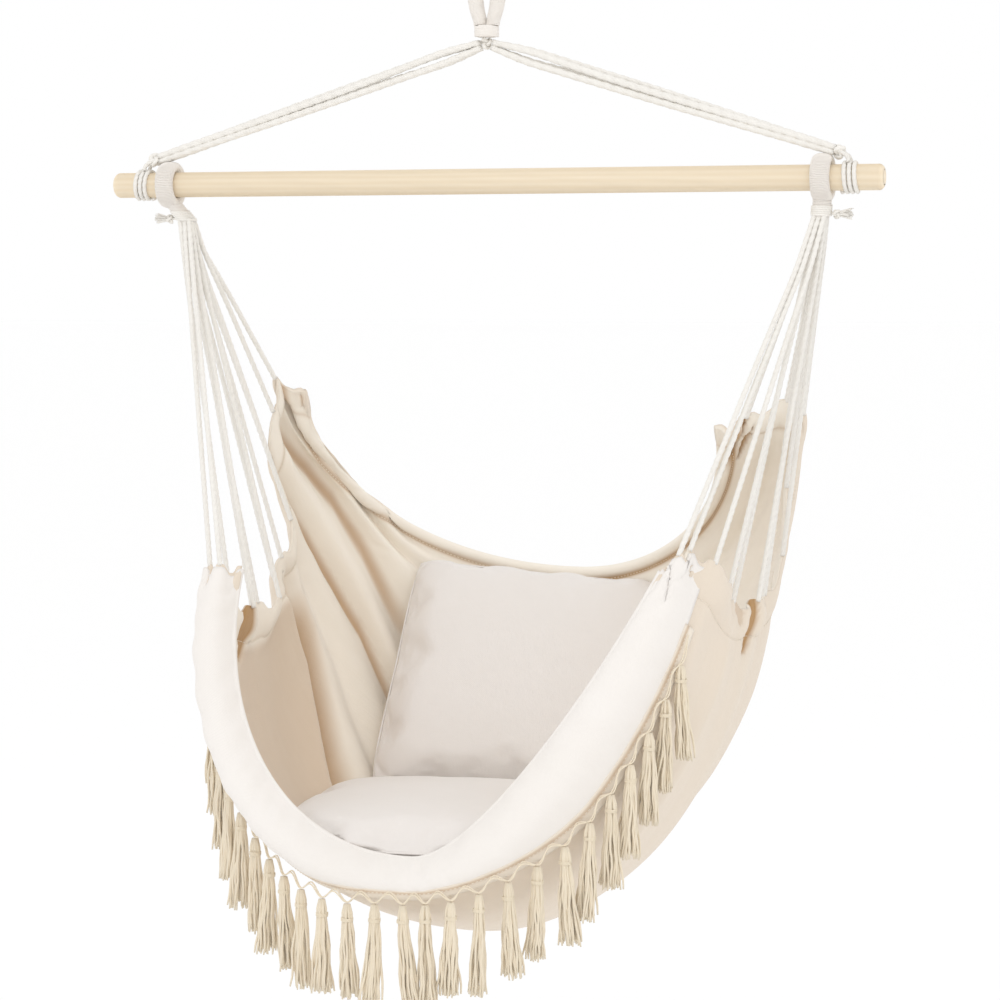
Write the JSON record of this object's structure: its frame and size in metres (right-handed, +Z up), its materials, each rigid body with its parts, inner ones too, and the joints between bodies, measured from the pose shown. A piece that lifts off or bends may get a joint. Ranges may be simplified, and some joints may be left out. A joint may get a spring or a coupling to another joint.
{
  "type": "hanging hammock chair",
  "caption": "Hanging hammock chair: fringed cotton sling with seat and back cushions, cord fans, wooden spreader bar and a served rope eye.",
  "frame": {"origin": "the hook seat: inside of the crown of the hanging loop, where a ceiling hook carries the chair", "axes": "+X along the spreader bar to the sitter's left hand, +Y to the back of the seat, +Z up"},
  "size_m": [1, 0.7808, 1.2601],
  "materials": {
    "served_rope": "rope covered with close turns of thin cotton cord",
    "cotton_cord": "laid cotton cord",
    "pine": "bare sanded pine",
    "canvas": "plain woven cotton canvas, natural",
    "fringe_cotton": "loose cotton yarn, natural",
    "cushion_cover": "plain woven cotton cover, filled"
  },
  "bodies": {
    "eye": {"hanging_loop": "served_rope"},
    "neck": {"hanger_neck": "served_rope", "neck_seizing": "cotton_cord"},
    "crown": {"crown_knot": "cotton_cord"},
    "suspension": {"strand_left_1": "cotton_cord", "strand_left_2": "cotton_cord", "strand_left_3": "cotton_cord", "strand_left_4": "cotton_cord", "strand_knot_left": "cotton_cord", "strand_right_1": "cotton_cord", "strand_right_2": "cotton_cord", "strand_right_3": "cotton_cord", "strand_right_4": "cotton_cord", "strand_knot_right": "cotton_cord", "spreader_bar": "pine", "bar_hitch_left": "cotton_cord", "bar_hitch_right": "cotton_cord"},
    "sling": {"collar_left": "served_rope", "collar_right": "served_rope", "collar_whipping_left": "cotton_cord", "collar_whipping_right": "cotton_cord", "tail_knot_left": "cotton_cord", "tail_knot_right": "cotton_cord", "fan_cord_left_1": "cotton_cord", "fan_cord_left_2": "cotton_cord", "fan_cord_left_3": "cotton_cord", "fan_cord_left_4": "cotton_cord", "fan_cord_left_5": "cotton_cord", "fan_cord_left_6": "cotton_cord", "fan_cord_left_7": "cotton_cord", "fan_cord_left_8": "cotton_cord", "fan_cord_left_9": "cotton_cord", "fan_cord_left_10": "cotton_cord", "fan_cord_left_11": "cotton_cord", "fan_cord_left_12": "cotton_cord", "fan_cord_left_13": "cotton_cord", "fan_cord_right_1": "cotton_cord", "fan_cord_right_2": "cotton_cord", "fan_cord_right_3": "cotton_cord", "fan_cord_right_4": "cotton_cord", "fan_cord_right_5": "cotton_cord", "fan_cord_right_6": "cotton_cord", "fan_cord_right_7": "cotton_cord", "fan_cord_right_8": "cotton_cord", "fan_cord_right_9": "cotton_cord", "fan_cord_right_10": "cotton_cord", "fan_cord_right_11": "cotton_cord", "fan_cord_right_12": "cotton_cord", "fan_cord_right_13": "cotton_cord", "sling_cloth": "canvas", "fringe": "fringe_cotton"},
    "seat_pad": {"seat_cushion": "cushion_cover"},
    "back_pad": {"back_cushion": "cushion_cover"}
  },
  "joints": [
    {"name": "turn", "type": "hinge", "parent": "eye", "child": "neck", "pos_m": [0, 0, -0.1], "axis": [0, 0, 1], "range_deg": [-180, 180]},
    {"name": "sway", "type": "hinge", "parent": "neck", "child": "crown", "pos_m": [0, 0, -0.114], "axis": [0, 1, 0], "range_deg": [-12, 12]},
    {"name": "swing", "type": "hinge", "parent": "crown", "child": "suspension", "pos_m": [0, 0, -0.114], "axis": [1, 0, 0], "range_deg": [-30, 30]},
    {"name": "seat_tilt", "type": "hinge", "parent": "suspension", "child": "sling", "pos_m": [0, 0, -0.285], "axis": [1, 0, 0], "range_deg": [-20, 20]},
    {"name": "seat_cushion_lift", "type": "slide", "parent": "sling", "child": "seat_pad", "axis": [0, -0.1959, 0.9806], "range_m": [0, 0.06]},
    {"name": "back_cushion_lift", "type": "slide", "parent": "sling", "child": "back_pad", "axis": [0, -0.6, 0.8], "range_m": [0, 0.08]}
  ]
}
